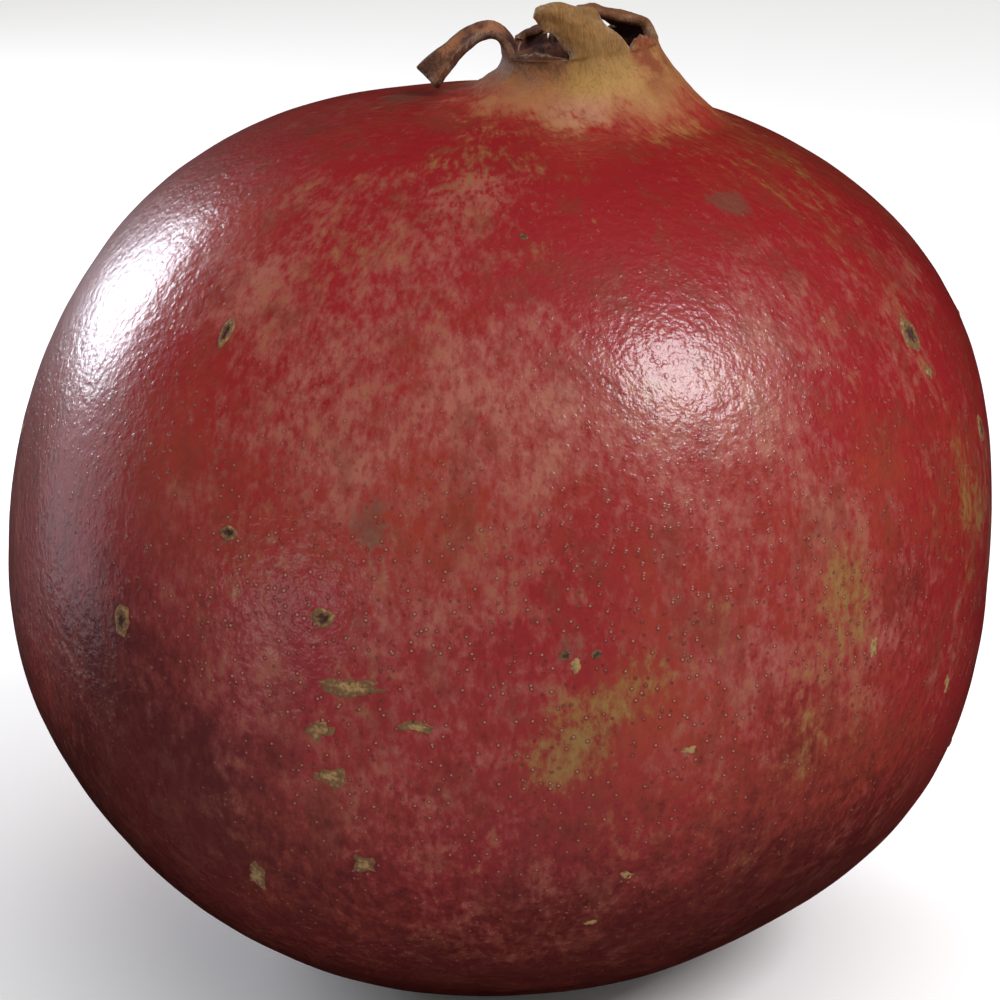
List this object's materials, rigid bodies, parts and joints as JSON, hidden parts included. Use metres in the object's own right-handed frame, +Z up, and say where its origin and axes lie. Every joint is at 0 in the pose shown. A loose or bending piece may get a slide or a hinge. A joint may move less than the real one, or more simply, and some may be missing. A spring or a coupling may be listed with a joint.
{
  "type": "pomegranate",
  "caption": "Fresh pomegranate standing on its stem end, with a leathery red rind, a short calyx tube and dry curled lobes round withered stamens.",
  "frame": {"origin": "middle of the plan's bounding box, on the plane that the fruit rests on", "axes": "+Z up through the fruit towards the calyx, -Y towards the side seen in the picture, +X to its right"},
  "size_m": [0.0982, 0.0958, 0.0975],
  "materials": {
    "rind": "satin leathery red skin, tan and yellow towards the calyx",
    "withered": "dry matt brown threads"
  },
  "bodies": {
    "root": {"fruit": "rind", "stamens": "withered"}
  },
  "joints": []
}
